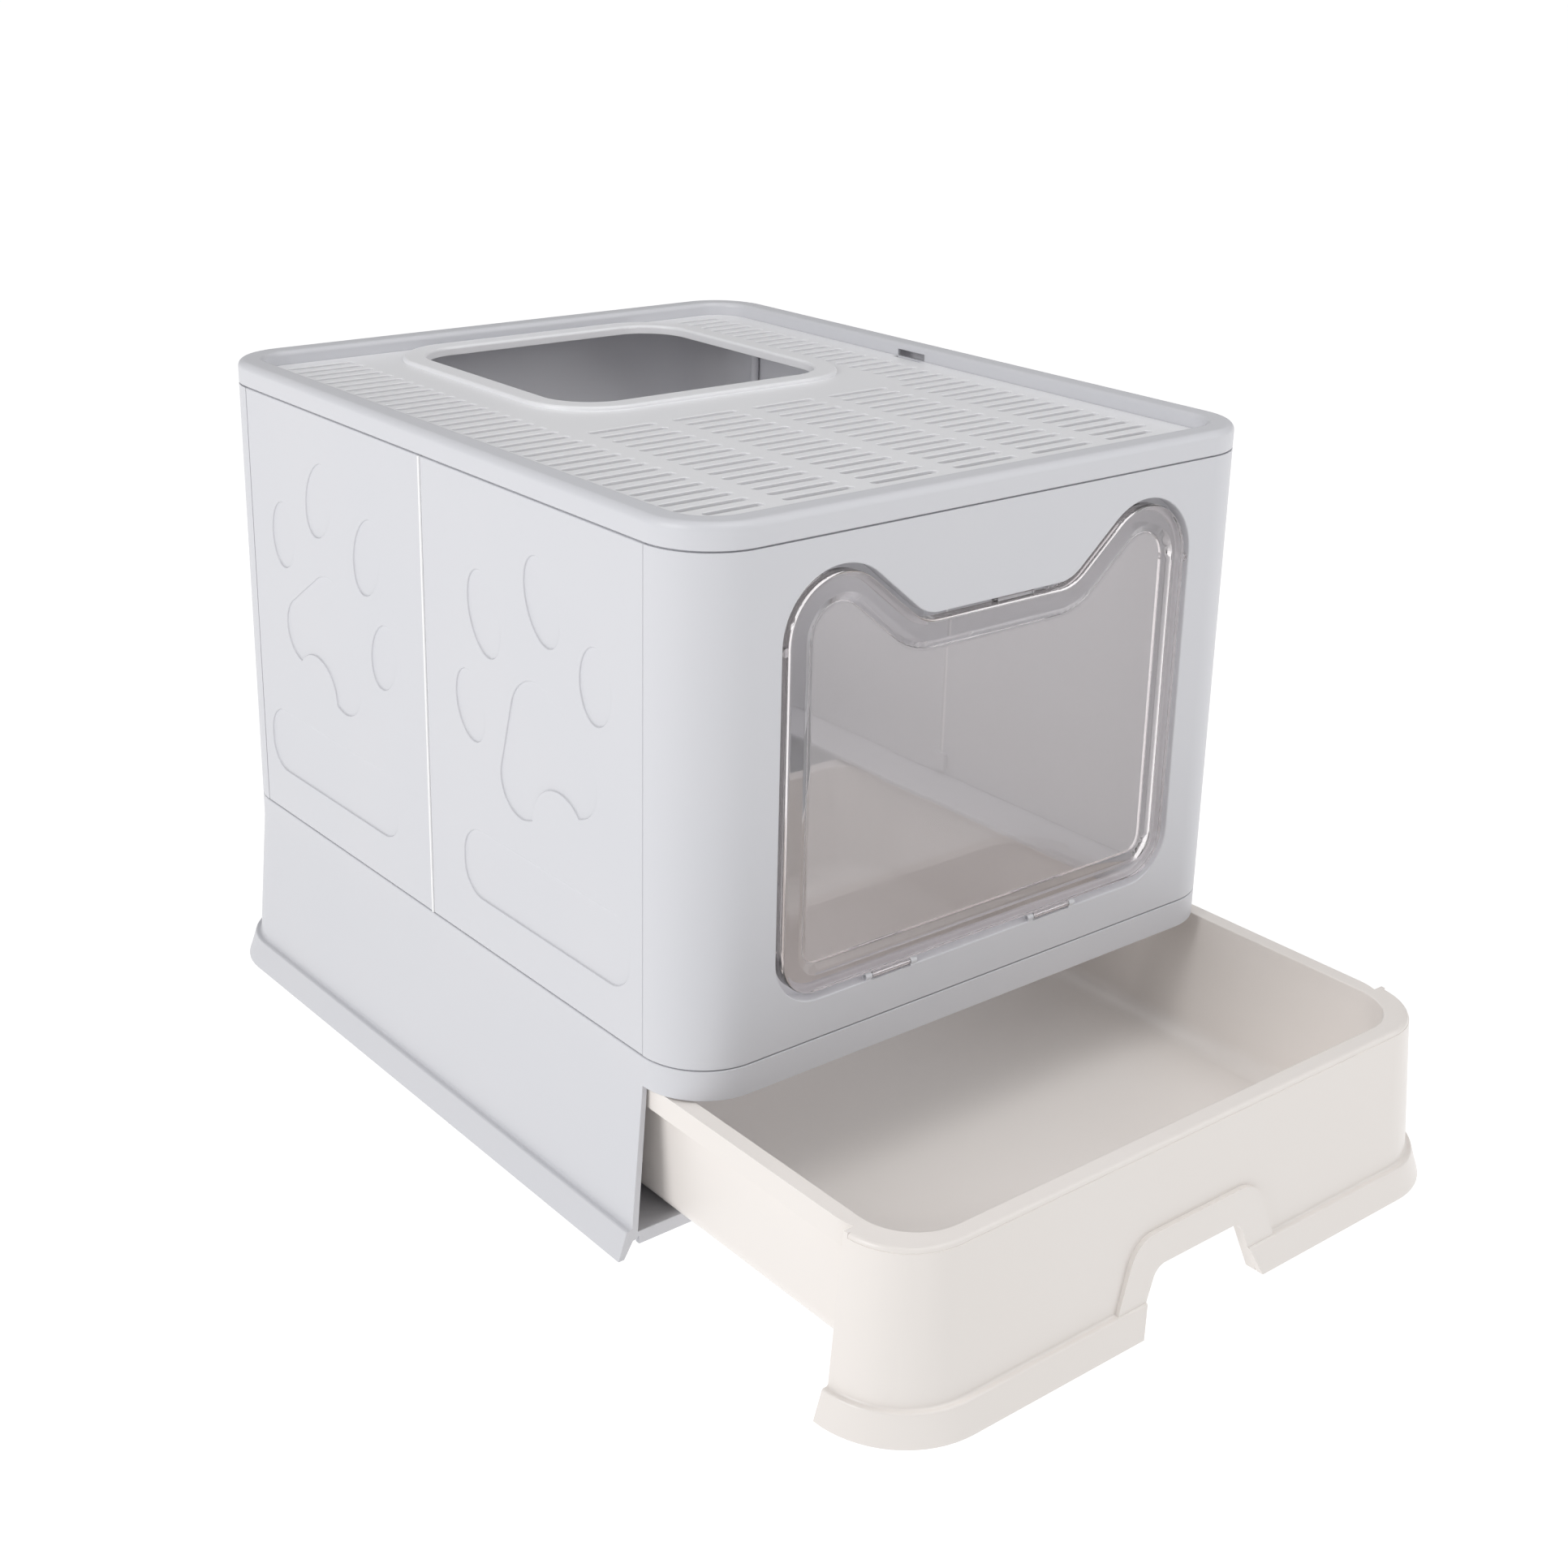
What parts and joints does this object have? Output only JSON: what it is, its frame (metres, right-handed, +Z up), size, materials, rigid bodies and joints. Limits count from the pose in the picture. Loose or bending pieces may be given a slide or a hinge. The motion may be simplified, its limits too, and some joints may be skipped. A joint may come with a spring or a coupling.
{
  "type": "drawer litter box",
  "caption": "Enclosed litter box with a pull-out waste drawer, slotted top-entry deck, cat-ear flap door and walls that fold inward between lift-off lid and base.",
  "frame": {"origin": "centre of the body footprint at floor level; the front of the box faces -Y", "axes": "+Z up out of the floor, +X to the right seen from the front, -Y out of the drawer and door side"},
  "size_m": [0.409, 0.6468, 0.381],
  "materials": {
    "shell": "satin light grey polypropylene",
    "deck": "satin near-white polypropylene",
    "drawer": "satin warm ivory polypropylene",
    "living_hinge": "pale soft plastic",
    "clear": "clear polished plastic",
    "steel": "bright steel wire"
  },
  "bodies": {
    "base": {"base_chassis": "shell"},
    "drawer": {"drawer_tub": "drawer"},
    "front": {"front_panel": "shell", "front_left_hinge_pin": "steel", "front_right_hinge_pin": "steel", "door_hinge_pins": "steel"},
    "left_front": {"left_front_panel": "shell", "left_knee_strip": "living_hinge"},
    "left_rear": {"left_rear_panel": "shell", "left_fold_clip": "shell"},
    "back": {"back_panel": "shell", "rear_left_hinge_pin": "steel", "rear_right_hinge_pin": "steel"},
    "right_front": {"right_front_panel": "shell", "right_knee_strip": "living_hinge"},
    "right_rear": {"right_rear_panel": "shell", "right_fold_clip": "shell"},
    "lid": {"lid_frame": "shell", "slotted_deck": "deck"},
    "door": {"door_flap": "clear", "door_latch": "clear"}
  },
  "joints": [
    {"name": "drawer_slide", "type": "slide", "parent": "base", "child": "drawer", "axis": [0, -1, 0], "range_m": [-0.15, 0.2]},
    {"name": "enclosure_lift", "type": "slide", "parent": "base", "child": "front", "axis": [0, 0, 1], "range_m": [0, 0.15]},
    {"name": "fold_drive", "type": "hinge", "parent": "front", "child": "left_front", "pos_m": [-0.184, -0.197, 0.24], "axis": [0, 0, -1], "range_deg": [0, 64]},
    {"name": "left_knee", "type": "hinge", "parent": "left_front", "child": "left_rear", "pos_m": [-0.19, 0, 0.24], "axis": [0, 0, -1], "range_deg": [-128, 0]},
    {"name": "rear_left_fold", "type": "hinge", "parent": "left_rear", "child": "back", "pos_m": [-0.184, 0.197, 0.24], "axis": [0, 0, -1], "range_deg": [0, 64]},
    {"name": "front_right_fold", "type": "hinge", "parent": "front", "child": "right_front", "pos_m": [0.184, -0.197, 0.24], "axis": [0, 0, -1], "range_deg": [-64, 0]},
    {"name": "right_knee", "type": "hinge", "parent": "right_front", "child": "right_rear", "pos_m": [0.19, 0, 0.24], "axis": [0, 0, -1], "range_deg": [0, 128]},
    {"name": "lid_lift", "type": "slide", "parent": "front", "child": "lid", "axis": [0, 0, 1], "range_m": [0, 0.1]},
    {"name": "door_swing", "type": "hinge", "parent": "front", "child": "door", "pos_m": [0, -0.2326, 0.1336], "axis": [1, 0, 0], "range_deg": [0, 90]}
  ],
  "couplings": [
    {"joint": "left_knee", "follows": "fold_drive", "ratio": -2},
    {"joint": "rear_left_fold", "follows": "fold_drive", "ratio": 1},
    {"joint": "front_right_fold", "follows": "fold_drive", "ratio": -1},
    {"joint": "right_knee", "follows": "fold_drive", "ratio": 2}
  ]
}
